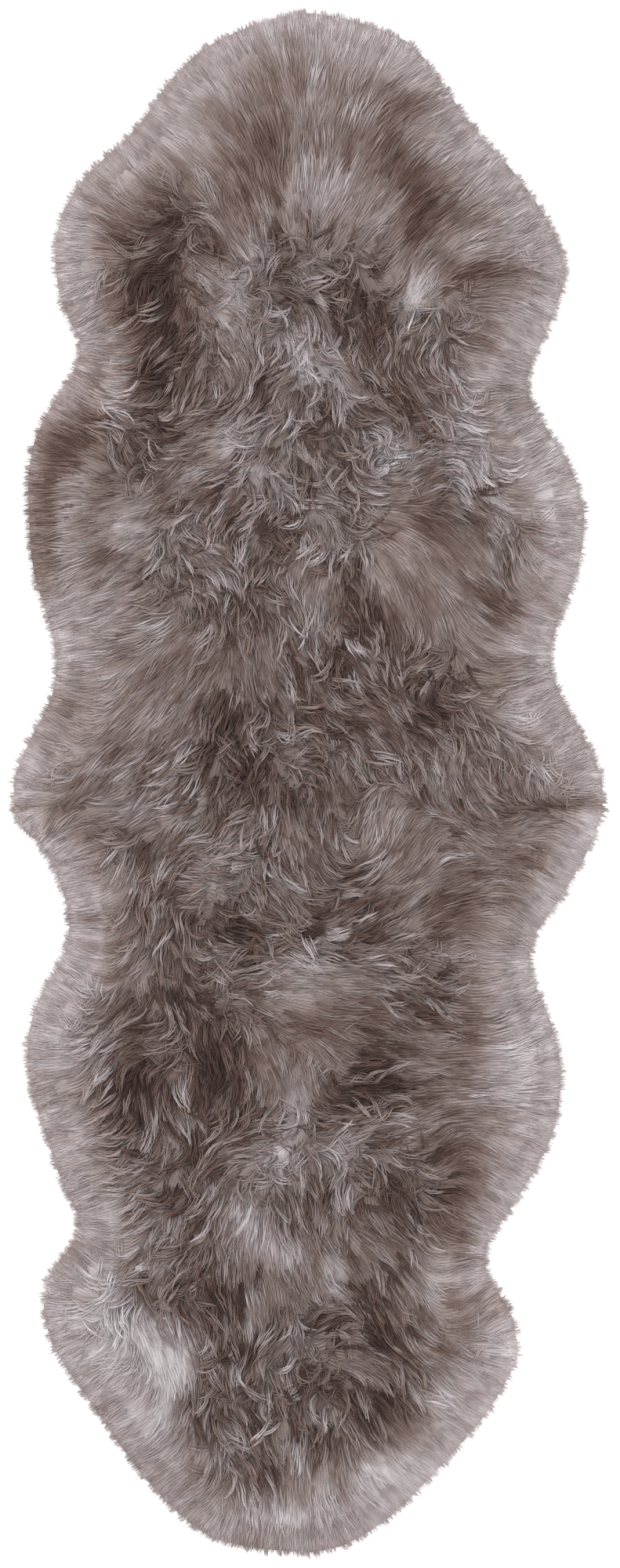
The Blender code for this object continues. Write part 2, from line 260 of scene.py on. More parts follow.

# %% [markdown]
# The wool of a rug lies the way it was combed, walked on and packed.
# Each row here is a stroke of the comb: where it lies in mm, which way the tips point in degrees
# (0 is right, 90 is up the rug), and how tangled the wool is there, from 0 for sleek to 10 for
# curls. The strokes were read off the photograph's pixels, and a small program turned most
# of them into millimetres. Near the rim no strokes are needed: wool falls outwards there.
# Where strokes near each other cross, the wool counts as a little more tangled.

# %% Read how the wool is combed
COMBED = [
    (-110, 730, 130, 1), (-50, 805, 115, 2), (25, 795, 80, 3), (70, 830, 60, 1), (105, 790, 45, 2),
    (150, 760, 40, 2), (5, 715, 85, 3), (70, 705, 60, 2), (-50, 675, 115, 2), (-85, 610, 130, 1),
    (-10, 650, 95, 4), (35, 650, 60, 2), (100, 660, 45, 2), (150, 640, 40, 1), (205, 605, 15, 2),
    (115, 585, 65, 1), (-45, 575, 30, 9), (5, 575, -50, 9), (60, 560, -80, 9), (-50, 530, -120, 8),
    (-220, 640, 150, 2), (-170, 610, -145, 5), (-190, 550, -135, 6), (-130, 595, -35, 3),
    (-130, 510, -140, 5), (-85, 550, -25, 1), (-90, 495, -40, 3), (-185, 485, -125, 6),
    (-230, 475, -145, 5), (-270, 440, -155, 3), (0, 520, -75, 5), (35, 475, -45, 6),
    (-40, 465, -120, 5), (80, 505, -100, 4), (135, 520, -125, 5), (150, 455, -60, 6),
    (205, 505, -10, 2), (225, 440, 15, 3), (185, 400, -40, 6), (180, 340, -70, 6), (260, 330, 5, 2),
    (80, 420, -20, 6), (100, 385, -170, 7), (5, 395, -90, 7), (-60, 420, -140, 5), (-110, 395, -170, 4),
    (-205, 395, 120, 8), (-160, 345, -150, 4), (-220, 320, -165, 3), (-260, 365, 150, 3),
    (0, 330, -50, 9), (35, 285, -100, 10), (-45, 295, -115, 8), (100, 322, 0, 2), (130, 278, -30, 1),
    (205, 275, -50, 4), (245, 255, -110, 7), (270, 200, -60, 4), (-130, 255, -30, 6),
    (-195, 255, -150, 4), (-270, 210, -160, 2), (10, 245, -110, 3), (-50, 210, -55, 6),
    (155, 212, -65, 3), (210, 185, -20, 5), (-220, 185, -170, 3), (60, 200, -90, 8), (45, 155, -60, 9),
    (-50, 155, -75, 4), (-140, 145, -130, 3), (-205, 100, -140, 2), (-270, 90, -130, 4),
    (-320, 35, -160, 1), (-270, 30, -125, 3), (-150, 75, -120, 4), (-95, 45, -100, 8),
    (-165, 20, -135, 5), (5, 90, -60, 6), (0, 50, 15, 7), (80, 90, -40, 4), (135, 135, -160, 5),
    (150, 65, -30, 7), (225, 120, 10, 2), (260, 65, -45, 5), (320, 35, -15, 1), (270, 10, -100, 4),
    (150, 10, -90, 4), (35, 0, -80, 4), (-60, 0, -110, 6),
    (-240, -55, -175, 4), (-165, -55, -150, 4), (-85, -60, -120, 4), (-5, -65, -75, 4),
    (80, -40, 80, 2), (125, -75, 60, 3), (200, -65, -40, 4), (255, -55, 30, 4), (-195, -100, -100, 5),
    (-170, -155, -85, 6), (-130, -125, 170, 3), (-100, -95, 150, 4), (5, -100, -60, 5),
    (-40, -145, -45, 4), (-85, -135, -35, 9), (-40, -180, -20, 9), (45, -135, 40, 5),
    (115, -125, 30, 3), (190, -120, 20, 3), (245, -125, 10, 4), (205, -190, -20, 2), (135, -165, 35, 4),
    (125, -235, -40, 7), (-200, -210, -130, 4), (-155, -230, -75, 5), (-95, -220, 40, 5),
    (-175, -300, -170, 4), (-130, -290, -70, 5), (-30, -220, 10, 3), (-10, -275, -15, 2),
    (-50, -310, -60, 4), (0, -335, -80, 3), (45, -255, 0, 4), (90, -300, -10, 4), (150, -310, 0, 3),
    (215, -275, 0, 1), (-270, -365, -140, 5), (-180, -365, -95, 5), (-145, -400, -60, 6),
    (-220, -430, -160, 6), (-140, -455, -110, 7), (-250, -495, -150, 3), (-185, -500, -140, 6),
    (-85, -365, -100, 5), (-85, -420, -165, 4), (-45, -410, 175, 4), (-20, -445, -60, 6),
    (65, -365, 0, 9), (45, -400, 20, 3), (115, -390, 25, 3), (160, -430, 35, 3), (100, -455, -60, 6),
    (45, -475, -120, 7), (200, -440, -30, 2), (-75, -510, -110, 4), (-30, -550, -80, 4),
    (25, -550, -60, 4), (80, -510, -35, 4), (125, -520, -50, 5), (160, -565, -60, 4),
    (-250, -555, -130, 4), (-215, -585, -105, 5), (-160, -565, -150, 7), (-110, -600, -60, 6),
    (-175, -630, -60, 4), (-140, -665, -75, 3), (-220, -685, -110, 3), (-185, -760, -110, 3),
    (-60, -595, -85, 4), (5, -575, -70, 4), (-35, -655, -135, 6), (25, -630, 40, 5), (50, -665, -20, 4),
    (90, -610, -70, 5), (140, -595, -50, 4), (160, -650, -25, 3), (145, -705, -60, 6),
    (-95, -685, -100, 9), (-10, -695, -110, 10), (-80, -765, -50, 5), (-130, -785, -120, 3),
    (-5, -760, -90, 5), (70, -720, -70, 5), (100, -765, -60, 3), (5, -810, -85, 2),
    (95, 292, -25, 1), (105, 252, -55, 1), (100, 218, -75, 2), (130, 235, -65, 2), (155, 250, -40, 2),
    (185, 225, -25, 2), (120, 352, 35, 3), (152, 348, 45, 4), (175, 182, -60, 3), (125, 182, -80, 3),
]  # fmt: skip
STROKE_REACH = 25 * MM
RULED_BY_RIM = (35 * MM, 90 * MM)
UNDECIDED = 0.15
CROSSED_TANGLE = 0.25


def comb_field():
    across, up, tangle, total = np.zeros((4, len(grid_points)))
    for x, y, heading, tangled in COMBED:
        far = (grid_points[:, 0] - x * MM) ** 2 + (grid_points[:, 1] - y * MM) ** 2
        weight = 1 / (far + STROKE_REACH**2) ** 2
        across += weight * math.cos(math.radians(heading))
        up += weight * math.sin(math.radians(heading))
        tangle += weight * tangled / 10
        total += weight
    shape = depth_map.shape
    return [(part / total).reshape(shape) for part in (across, up, tangle)]


comb_x, comb_y, tangle_map = comb_field()
agreement = np.hypot(comb_x, comb_y)
slope = np.hypot(inward_x, inward_y) + 1e-6
inner = smooth_step(*RULED_BY_RIM, depth_map)
comb_x = inner * comb_x / (agreement + UNDECIDED) - (1 - inner) * inward_x / slope
comb_y = inner * comb_y / (agreement + UNDECIDED) - (1 - inner) * inward_y / slope
tangle_map = tangle_map * inner + CROSSED_TANGLE * (1 - agreement) * inner
spring_map = np.gradient(comb_x, CELL, axis=0) + np.gradient(comb_y, CELL, axis=1)
print("strokes:", len(COMBED), " most tangled:", round(tangle_map.max(), 2))

# %% [markdown]
# The wool isn't one colour. Its tips are silvery and its lower part is a warm brown.
# Where it is combed flat, as along the rim, it catches the light and looks light; where it parts
# or curls, it lies in shade and the brown shows. These patches paint that in, so they are partly
# the wool's own tone and partly painted light and painted shade. Each row here is such a patch:
# its middle in mm, its half breadths, how far it is turned, and how many steps lighter or darker
# it is than the wool around it. The rows were set from blurred maps of the photograph's tone and
# of how far a render was from it, with a number every 50 mm.

# %% List light and dark patches
SHADES = [
    (-45, 800, 70, 42, 60, -1.2), (-50, 720, 60, 28, 75, -1.6), (5, 800, 35, 11, 90, 1.6),
    (12, 700, 32, 26, 0, 1.9), (108, 790, 48, 22, -20, -1.6), (128, 692, 68, 32, -50, -2.2),
    (62, 665, 48, 24, 10, 0.9), (205, 590, 52, 24, 0, -1.6), (122, 570, 42, 18, 80, 2.6),
    (-175, 605, 115, 38, 90, -2.4), (-172, 480, 60, 34, 80, -2.0), (-68, 605, 30, 17, 90, 1.6),
    (-88, 545, 60, 22, 85, 1.2), (-28, 600, 34, 14, 90, -0.9), (62, 535, 44, 40, 0, -1.9),
    (-8, 512, 20, 18, 0, 2.0), (18, 480, 32, 18, 90, 1.6), (68, 475, 32, 15, 90, -1.9),
    (115, 445, 42, 22, -50, -1.8), (190, 425, 60, 32, 60, 1.2), (-235, 442, 32, 20, 0, 1.2),
    (-268, 402, 42, 28, 40, -2.8), (-308, 310, 95, 16, 90, -3.6), (-272, 305, 62, 20, 90, 0.9),
    (-178, 385, 40, 15, 90, -1.8), (-208, 300, 32, 24, 90, 2.6), (-240, 265, 20, 14, 0, -1.6),
    (-78, 400, 32, 24, 0, 1.5), (-20, 402, 26, 11, 90, 1.8), (17, 400, 22, 18, 0, -1.1),
    (95, 380, 36, 22, 80, 2.2), (155, 295, 42, 24, -60, -1.5), (-48, 258, 20, 15, 90, -1.2),
    (224, 268, 28, 16, 60, 0.9), (212, 215, 22, 16, 0, -1.6), (-222, 205, 28, 22, 90, 1.3),
    (-215, 170, 52, 20, 10, 0.9), (-122, 200, 22, 12, 0, -1.3), (12, 202, 24, 20, 90, 1.6),
    (85, 185, 52, 28, -15, -1.7), (38, 140, 24, 15, 0, -2.0), (150, 95, 48, 20, 35, -2.4),
    (226, 164, 36, 12, 0, 1.2), (-90, 60, 46, 34, 0, -1.4), (-75, 10, 36, 24, 70, -2.2),
    (20, 80, 50, 20, -50, -1.2), (-165, 15, 18, 15, 0, 1.1), (-8, 48, 10, 8, 0, 1.4),
    (25, -12, 26, 16, 0, -1.2), (240, 85, 20, 18, 90, 1.6), (-310, 60, 30, 18, 60, -0.8),
    (-268, -25, 52, 24, -15, -1.3), (85, -32, 28, 20, 20, 1.5), (-100, -90, 36, 28, 0, 1.4),
    (-185, -78, 26, 20, 90, -0.9), (-162, -135, 22, 18, 0, -1.2), (-95, -170, 58, 20, -25, -1.3),
    (128, -128, 18, 16, 0, 1.4), (172, -140, 42, 20, 60, -1.3), (66, -150, 42, 22, -60, -1.2),
    (-8, -225, 44, 28, 10, 1.8), (-122, -290, 85, 44, -60, -2.2), (-108, -332, 34, 18, 90, -1.6),
    (-80, -390, 36, 18, 0, -1.6), (-198, -352, 38, 28, 0, -2.0), (-200, -300, 32, 24, 90, -1.1),
    (-208, -400, 32, 26, 0, -1.7), (-150, -400, 36, 14, 55, 1.6), (0, -345, 30, 12, 70, 2.1),
    (-15, -385, 26, 12, 95, 2.1), (-36, -425, 28, 18, 50, 1.8), (80, -310, 46, 20, -80, -1.8),
    (70, -354, 52, 12, 15, -2.4), (42, -418, 18, 14, 0, 1.4), (170, -430, 62, 36, -70, -1.6),
    (110, -500, 46, 36, 0, -1.4), (-35, -480, 16, 14, 0, -1.1), (-65, -515, 46, 13, -50, 2.3),
    (-25, -545, 30, 10, -35, 2.1), (30, -562, 24, 14, 85, 1.9), (150, -570, 28, 14, 80, 1.4),
    (-120, -585, 60, 24, 0, -1.9), (-113, -612, 30, 14, 85, -1.1), (-222, -640, 72, 56, 0, 2.4),
    (-160, -675, 30, 26, 90, 3.0), (-190, -740, 40, 24, 60, 2.0), (-245, -560, 30, 24, 0, 1.0),
    (92, -632, 66, 20, -50, -2.2), (-75, -660, 28, 14, -30, -1.9), (5, -700, 26, 24, 0, -1.9),
    (85, -710, 38, 24, -20, -2.0), (-12, -640, 26, 8, 60, 1.4), (155, -705, 20, 15, 0, 2.0),
    (-85, -772, 15, 12, 90, 1.4), (-80, -806, 60, 20, 0, -1.1), (38, -770, 36, 20, 0, -1.3),
    (102, -800, 46, 24, 10, 1.8), (0, -782, 14, 12, 90, 1.0), (-20, -852, 20, 10, 0, 1.0),
    (-130, -826, 32, 12, -40, -1.1), (-58, -878, 22, 10, 0, -1.1),
    (-268, -250, 90, 30, 88, 0.3), (-200, -255, 85, 28, 85, -0.9), (-262, 440, 70, 28, 65, -2.2),
    (-290, 345, 60, 20, 75, -1.8), (-208, 555, 42, 30, 0, -2.8), (-235, 655, 60, 28, 90, -2.0),
    (-185, 790, 130, 16, 45, -1.5), (0, 665, 45, 28, 90, 1.2), (85, 665, 40, 14, 60, 1.6),
    (-75, 585, 45, 20, 60, 1.2), (190, 620, 35, 20, 0, 1.9), (130, 567, 28, 20, 60, 2.0),
    (15, 785, 35, 20, 90, 1.4), (62, 770, 22, 18, 0, 1.6), (-40, 785, 28, 15, 60, 1.3),
    (-125, 745, 30, 18, 0, 1.5), (5, 475, 50, 22, -20, 2.0), (112, 510, 20, 14, 90, 1.6),
    (-60, 350, 40, 16, -45, 2.6), (-80, 380, 30, 24, 90, 1.2), (200, 372, 28, 20, 90, 2.6),
    (200, 325, 40, 30, 90, 1.2), (90, 378, 18, 18, 0, 1.6), (275, 335, 45, 22, 90, 1.4),
    (215, 260, 22, 14, 90, 1.8), (230, 200, 24, 16, 0, -2.2), (265, 222, 20, 14, 0, -1.4),
    (60, 130, 45, 22, 20, -1.8), (75, 168, 26, 16, 60, -1.1), (-280, 75, 30, 22, 90, -2.4),
    (-278, 240, 50, 22, 90, -1.3), (205, 515, 18, 14, 0, -2.0), (222, 455, 40, 14, 60, -1.8),
    (-148, 448, 16, 16, 0, -1.7), (0, 320, 60, 14, 0, 1.2), (-180, 90, 55, 30, -30, 0.9),
    (105, 62, 80, 22, 10, -1.1), (120, 790, 24, 14, -20, -1.6), (-210, 230, 25, 18, 0, 1.1),
    (-215, -18, 40, 18, 0, 1.7), (-145, -35, 30, 16, 0, 1.4), (-92, -120, 26, 18, 60, 2.3),
    (-245, -90, 26, 20, 90, -1.7), (255, -95, 50, 22, 60, -1.7), (300, -20, 26, 22, 0, -1.6),
    (240, -160, 40, 30, 60, -0.9), (-140, -365, 60, 24, -10, -1.5), (-125, -430, 36, 14, 60, -1.7),
    (-25, -440, 28, 24, 90, 2.4), (-75, -505, 32, 26, 0, 2.2), (-15, -530, 36, 18, -60, 2.2),
    (30, -565, 16, 18, 0, 2.3), (170, -505, 36, 30, 70, -2.7), (235, -335, 50, 36, 80, 2.2),
    (180, -365, 20, 18, 0, 1.6), (60, -330, 50, 28, 90, -1.6), (40, -380, 14, 14, 0, -1.0),
    (-275, -550, 26, 16, 45, -2.3), (-190, -635, 40, 22, -45, 2.6), (-150, -675, 34, 26, -45, 3.0),
    (-165, -730, 30, 16, 90, 1.7), (-105, -620, 26, 15, 90, -2.3), (-100, -700, 18, 15, 0, -2.0),
    (-120, -805, 22, 16, -40, -2.2), (-15, -845, 40, 16, 10, 2.4), (20, -800, 26, 16, 60, 1.5),
    (82, -785, 26, 20, 30, 2.2), (62, -720, 36, 16, -60, -1.8), (105, -750, 24, 16, 0, -1.2),
    (215, -605, 34, 20, 0, -1.8), (-225, -748, 40, 12, -60, -1.6), (-255, -745, 130, 16, -60, -1.0),
    (225, -665, 22, 22, 0, 1.2), (60, -640, 50, 24, 0, -1.2), (120, -470, 26, 18, 0, 1.3),
    (50, -450, 28, 10, 0, 1.4), (-70, -215, 16, 16, 0, -1.5), (-30, -155, 24, 12, -40, -1.5),
    (-150, -275, 16, 16, 0, -1.4), (-200, -490, 22, 16, 90, -1.7), (312, -52, 24, 12, 10, 1.5),
    (-292, 372, 34, 22, 80, -1.4), (-246, 408, 18, 16, 0, -1.5), (-250, 140, 50, 18, 60, -1.4),
    (-124, 126, 18, 24, 0, -1.8), (-110, 620, 20, 34, 0, -1.4), (138, 788, 34, 16, 0, -1.3),
    (124, 634, 18, 34, 0, -2.3), (212, 652, 24, 14, 20, -1.4), (212, 512, 18, 32, 0, -1.5),
    (238, 446, 24, 12, 0, -1.4), (243, 184, 18, 20, 0, -1.6), (234, 130, 18, 18, 0, -1.9),
    (88, 12, 30, 16, 20, -1.3), (-20, 62, 32, 16, 20, -1.2), (-20, 490, 30, 30, 0, 1.5),
    (48, 432, 44, 20, 0, 1.6), (82, 378, 16, 22, 0, 1.7), (165, 405, 22, 16, -50, 2.0),
    (186, 368, 14, 20, -20, 1.6), (-128, 288, 26, 28, 20, 1.7), (-75, 312, 34, 18, 0, 1.1),
    (-80, 436, 24, 16, 20, 1.2), (65, 306, 34, 12, 0, 1.3), (86, 230, 14, 36, 10, 1.2),
    (178, -28, 44, 16, 0, 1.5), (-175, -24, 70, 16, 0, 1.1), (-226, -178, 20, 44, 0, -1.8),
    (-178, -228, 20, 28, -15, 2.0), (-74, -335, 16, 60, 0, -1.2), (20, -290, 60, 22, 0, -1.0),
    (-42, -415, 30, 16, 30, 1.5), (-225, -470, 20, 14, 0, -1.6), (-120, -505, 16, 40, 0, -1.6),
    (-172, -554, 26, 12, 0, 1.8), (-226, -605, 24, 30, 0, 1.8), (-275, -670, 22, 34, 0, -1.2),
    (170, -590, 18, 26, 0, -2.0), (184, -636, 18, 34, 0, -1.5), (170, -525, 22, 26, 20, -1.6),
    (195, -450, 26, 40, -20, -1.3), (185, -270, 26, 44, -25, -1.5), (190, -165, 40, 40, 0, -1.3),
    (270, -88, 36, 18, 65, -1.6), (-185, -812, 44, 20, -45, -1.4), (-105, -872, 50, 18, -20, -1.2),
    (0, -882, 60, 16, 0, -1.2), (62, -870, 50, 16, 25, -1.1), (122, -760, 36, 20, 15, -1.4),
    (-276, -48, 46, 18, -20, -1.7),
]  # fmt: skip
SHADE_STEP = 0.095
PLAIN_SHADE = 0.385
RIM_PAINTED_SHEEN = 0.26
RIM_SHEEN_REACH = (22 * MM, 105 * MM)
SEAM_PAINTED_SHADE = 0.13
PATCH_EDGE = 1.3


def shade_field():
    x, y = grid_points.T
    steps = np.zeros(len(x))
    for cx, cy, long, short, turn, step in SHADES:
        c, s = math.cos(math.radians(turn)), math.sin(math.radians(turn))
        along = ((x - cx * MM) * c + (y - cy * MM) * s) / (long * MM)
        aside = ((y - cy * MM) * c - (x - cx * MM) * s) / (short * MM)
        steps += step * np.exp(-((along**2 + aside**2) ** PATCH_EDGE))
    # Painted sheen: near the rim, where the wool lies combed flat, it is made lighter.
    rim_sheen = RIM_PAINTED_SHEEN * (1 - smooth_step(*RIM_SHEEN_REACH, depth_map))
    return PLAIN_SHADE + rim_sheen + SHADE_STEP * steps.reshape(depth_map.shape)


# Painted shade darkens the furrow over the seam.
shade_map = softened(shade_field(), times=1) - SEAM_PAINTED_SHADE * seam_map
print("patches:", len(SHADES), " shades:", round(shade_map.min(), 2), "to", round(shade_map.max(), 2))

# %% [markdown]
# Combing leaves fine parallel streaks that run with the wool. Here is a neat way to get them:
# start from random grain, and give each point the mean of the grain along its own line of wool,
# a little way up and a little way down. Across the wool the grain stays, along it the grain smears.
# The wool's main body, called the coat here, lies a little lower than its top, and lower in tangles.

# %% Smear grain along the wool
STREAK_STEPS = 8
STREAK_STRIDE = 2.5 * MM
STREAK_SHADE = 0.05
STREAK_RELIEF = 1.1 * MM
COAT_SHARE = 0.9
FIRM = (2 * MM, 30 * MM)
COAT_SUNK = 0.2 * MM
TANGLED_SUNK = 2.5 * MM


def combed_streaks(seed):
    grain = np.random.default_rng(seed).normal(0, 1, depth_map.shape)
    total = np.zeros(len(grid_points))
    for way in (-1, 1):
        spot = grid_points.copy()
        for _ in range(STREAK_STEPS):
            total += look_up(grain, spot)
            drift = np.stack([look_up(comb_x, spot), look_up(comb_y, spot)], axis=1)
            spot = spot + way * STREAK_STRIDE * drift
    return (total / total.std()).reshape(depth_map.shape)


streak_map = combed_streaks(SEED + 6)
coat_map = COAT_SHARE * height_map + STREAK_RELIEF * streak_map * smooth_step(*FIRM, height_map)
under_map = np.minimum(coat_map, softened(coat_map, times=18))
under_map = under_map - COAT_SUNK - TANGLED_SUNK * tangle_map
shade_map = shade_map + STREAK_SHADE * streak_map
print("streaks from", round(streak_map.min(), 1), "to", round(streak_map.max(), 1))

# %% [markdown]
# A lock is a tuft of fibres that cling together and end in one point.
# Real wool has far too many fibres to model, so a lock here has a few strands, each as thick as
# a pinch of fibres. Locks are planted in staggered rows with a random shift, like seedlings:
# even enough to leave no bald spot, uneven enough to show no rows. The fringe gets a second sowing.

# %% Plant the locks
LOCK_PITCH = 12 * MM
FRINGE_PITCH = 10 * MM
ROOT_DEPTH = 9 * MM
FRINGE_DEPTH = 44 * MM
SEAM_GAP = 1 * MM
ROW_STEP = 0.866
SCATTER = 0.42


def planted(pitch, low, high, seed):
    dice = np.random.default_rng(seed)
    spots = []
    for k, y in enumerate(np.arange(grid_y[0], grid_y[-1], pitch * ROW_STEP)):
        x = np.arange(grid_x[0] + (k % 2) * pitch / 2, grid_x[-1], pitch)
        spots.append(np.stack([x, np.full(len(x), y)], axis=1))
    spots = np.concatenate(spots)
    spots += dice.uniform(-SCATTER, SCATTER, spots.shape) * pitch
    depth = look_up(depth_map, spots)
    clear = np.abs(spots[:, 1] - SEAM_Y) > SEAM_GAP
    return spots[(depth > low) & (depth < high) & clear]


field_locks = planted(LOCK_PITCH, ROOT_DEPTH, np.inf, SEED + 1)
fringe_locks = planted(FRINGE_PITCH, ROOT_DEPTH, FRINGE_DEPTH, SEED + 2)
roots = np.concatenate([field_locks, fringe_locks])
print("locks:", len(field_locks), "and in the fringe:", len(fringe_locks))

# %% [markdown]
# In tangled wool neighbouring locks cling together and swing the same way, as a bundle two or
# three centimetres broad. Next to it another bundle swings another way, and between the two
# the wool parts and looks dark, from its own shadow and from painted shade on what lies below.
# So bundles are sown first, and every lock joins the nearest one.
# A bundle gives its locks a common error of heading, a common coil, height and shade.

# %% Gather the locks into bundles
BUNDLE_PITCH = 17 * MM
OUTERMOST_BUNDLE = -20 * MM
WARP = 2.5 * MM
WARP_SHIFT = 40 * MM

bundles = planted(BUNDLE_PITCH, OUTERMOST_BUNDLE, np.inf, SEED + 7)
warp = np.stack([look_up(streak_map, roots), look_up(streak_map, roots + WARP_SHIFT)], axis=1)
bundle_of = np.array([np.argmin(((bundles - spot) ** 2).sum(axis=1)) for spot in roots + WARP * warp])
print("bundles:", len(bundles), " locks in each:", round(len(roots) / len(bundles), 1))

# %% [markdown]
# A lock lies along the way the wool is combed, and follows its turns. So its middle line is
# walked in short steps, each in the direction found underfoot, turned by the errors.
# A lock of tangled wool also drifts towards the middle of its bundle, which gives the bundle a point.
# A lock that would reach far past the rim is shortened, because the real fringe is even.
# The turns are pairs, in degrees, and the share that they go with is how wild the tangle is.

# %% Walk each lock's middle line
STEPS = 10
SLEEK_LENGTH = 56 * MM
CURLED_LENGTH = 38 * MM
OVERSHOOT = (2 * MM, 8 * MM)
PAST_SEAM = (5 * MM, 60 * MM)
DRAWN_TOGETHER = 0.65
WAVES = 1.0
WILD = (0.25, 0.95)
ERROR, COIL, SWAY = (3, 30), (6, 62), (7, 14)
LOCK_OWN = 0.25
SHORTER = (0.1, 0.6)
LENGTH_VARIES = (0.85, 1.15)
PULLED = (0.2, 0.8)
TRIMS = 5
TRIM_LEAST, SEAM_TRIM_LEAST = 0.2, 0.3
SPRINGS_FROM = (12, 30)
STRAY = math.radians(70)
PLAIN_LENGTH = 42 * MM
PLAIN_BEND = 0.5


def tangle_at(spots):
    return np.clip(look_up(tangle_map, spots), 0, 1)


def random_turns(count, tangled, seed):
    dice = np.random.default_rng(seed)
    wild = smooth_step(*WILD, tangled)
    error = dice.normal(0, 1, count) * np.radians(scaled(ERROR, wild))
    coil = dice.normal(0, 1, count) * np.radians(scaled(COIL, wild**1.2))
    sway = dice.uniform(0.5, 1, count) * np.radians(scaled(SWAY, wild))
    phase = dice.uniform(0, 2 * np.pi, count)
    return error, coil, sway, phase


def walk(starts, length, error, coil, sway, phase):
    spot = starts.copy()
    line = [spot.copy()]
    for step in range(STEPS):
        heading = np.arctan2(look_up(comb_y, spot), look_up(comb_x, spot))
        along = (step + 0.5) / STEPS
        heading += error + coil * along + sway * np.sin(2 * np.pi * WAVES * along + phase)
        spot = spot + (length / STEPS)[:, None] * np.stack([np.cos(heading), np.sin(heading)], axis=1)
        line.append(spot.copy())
    return np.stack(line, axis=1)


tangle, root_depth = tangle_at(roots), look_up(depth_map, roots)
shorter = (SLEEK_LENGTH - CURLED_LENGTH) * smooth_step(*SHORTER, tangle)
length = (SLEEK_LENGTH - shorter) * chance.uniform(*LENGTH_VARIES, len(roots))
of_bundles = random_turns(len(bundles), tangle_at(bundles), SEED + 8)
of_locks = random_turns(len(roots), LOCK_OWN * tangle, SEED + 9)
error, coil = (common[bundle_of] + own for common, own in zip(of_bundles[:2], of_locks[:2]))
sway, phase = of_bundles[2][bundle_of], of_bundles[3][bundle_of] + LOCK_OWN * of_locks[3] / np.pi
overshoot = chance.uniform(*OVERSHOOT, len(roots))
at_ends = smooth_step(*SEAM_SHOWS, np.abs(roots[:, 0]))
seam_limit = PAST_SEAM[1] + (PAST_SEAM[0] - PAST_SEAM[1]) * at_ends
bundle_lines = walk(bundles, np.full(len(bundles), CURLED_LENGTH), *of_bundles)
tipwards = np.linspace(0, 1, STEPS + 1)[None, :] ** 1.5
pull = DRAWN_TOGETHER * smooth_step(*PULLED, tangle)[:, None] * tipwards
for _ in range(TRIMS):
    lines = walk(roots, length, error, coil, sway, phase)
    tip_depth = look_up(depth_map, lines[:, -1])
    fall = np.maximum(root_depth - tip_depth, 1 * MM)
    share = np.clip((root_depth + overshoot) / fall, TRIM_LEAST, 1)
    length = np.where(tip_depth < -overshoot, length * share, length)
    from_seam, tip_over = roots[:, 1] - SEAM_Y, SEAM_Y - lines[:, -1, 1]
    past = np.where(from_seam > 0, tip_over, -tip_over) - seam_limit
    share = np.clip(1 - past / (np.abs(from_seam) + seam_limit + past), SEAM_TRIM_LEAST, 1)
    length = np.where(past > 0, length * share, length)
spring = smooth_step(*SPRINGS_FROM, look_up(spring_map, roots))
stray = error + np.random.default_rng(SEED + 13).normal(0, 1, len(roots)) * STRAY * spring
plain_length = np.minimum(length, PLAIN_LENGTH)
plain_lines = walk(roots, plain_length, stray, PLAIN_BEND * coil, PLAIN_BEND * sway, phase)
lines = lines + pull[..., None] * (bundle_lines[bundle_of] - lines)
print("lock length, mm:", round(length.min() / MM), "to", round(length.max() / MM))
print("furthest tip past the rim, mm:", round(-look_up(depth_map, lines[:, -1]).min() / MM, 1))

# %% [markdown]
# A strand is a spike of three sides with a ridge on top. A cone from bmesh is cut across at a few
# stations, and that is the whole shape. Sleek strands need two segments, curled ones five.
# That makes 10 and 28 triangles, few enough for tens of thousands of strands.

# %% Make the patterns for a strand


def spike_pattern(stations, ridge):
    spike = bmesh.new()
    turned = Matrix.Translation((0, 0.5, 0)) @ Matrix.Rotation(math.radians(-90), 4, "X")
    bmesh.ops.create_cone(spike, cap_ends=True, segments=3, radius1=1, radius2=0, depth=1, matrix=turned)
    for at in stations[1:-1]:
        everything = spike.verts[:] + spike.edges[:] + spike.faces[:]
        bmesh.ops.bisect_plane(spike, geom=everything, plane_co=(0, at, 0), plane_no=(0, 1, 0))
    bmesh.ops.recalc_face_normals(spike, faces=spike.faces)
    along = np.array([v.co.y for v in spike.verts])
    place = np.abs(along[:, None] - np.array(stations)).argmin(axis=1)
    radius = np.maximum(1 - along, 1e-6)
    tip = place == len(stations) - 1
    side = np.where(tip, 0, [v.co.x for v in spike.verts] / radius)
    top = np.where(tip, 0, [v.co.z for v in spike.verts] / radius)
    faces = [[v.index for v in f.verts] for f in spike.faces]
    spike.free()
    turn = math.atan2(side[np.argmax(place == 0)], top[np.argmax(place == 0)])
    c, s = math.cos(turn), math.sin(turn)
    side, top = side * c - top * s, side * s + top * c
    form = {"stations": np.array(stations), "place": place, "side": side, "top": top}
    return {**form, "faces": faces, "ridge": ridge}


SLEEK = spike_pattern([0.0, 0.5, 1.0], 0.15)
CURLED = spike_pattern([0.0, 0.2, 0.4, 0.6, 0.8, 1.0], 0.2)
for name, pattern in (("sleek strand", SLEEK), ("curled strand", CURLED)):
    print(name, "triangles:", sum(len(f) - 2 for f in pattern["faces"]))
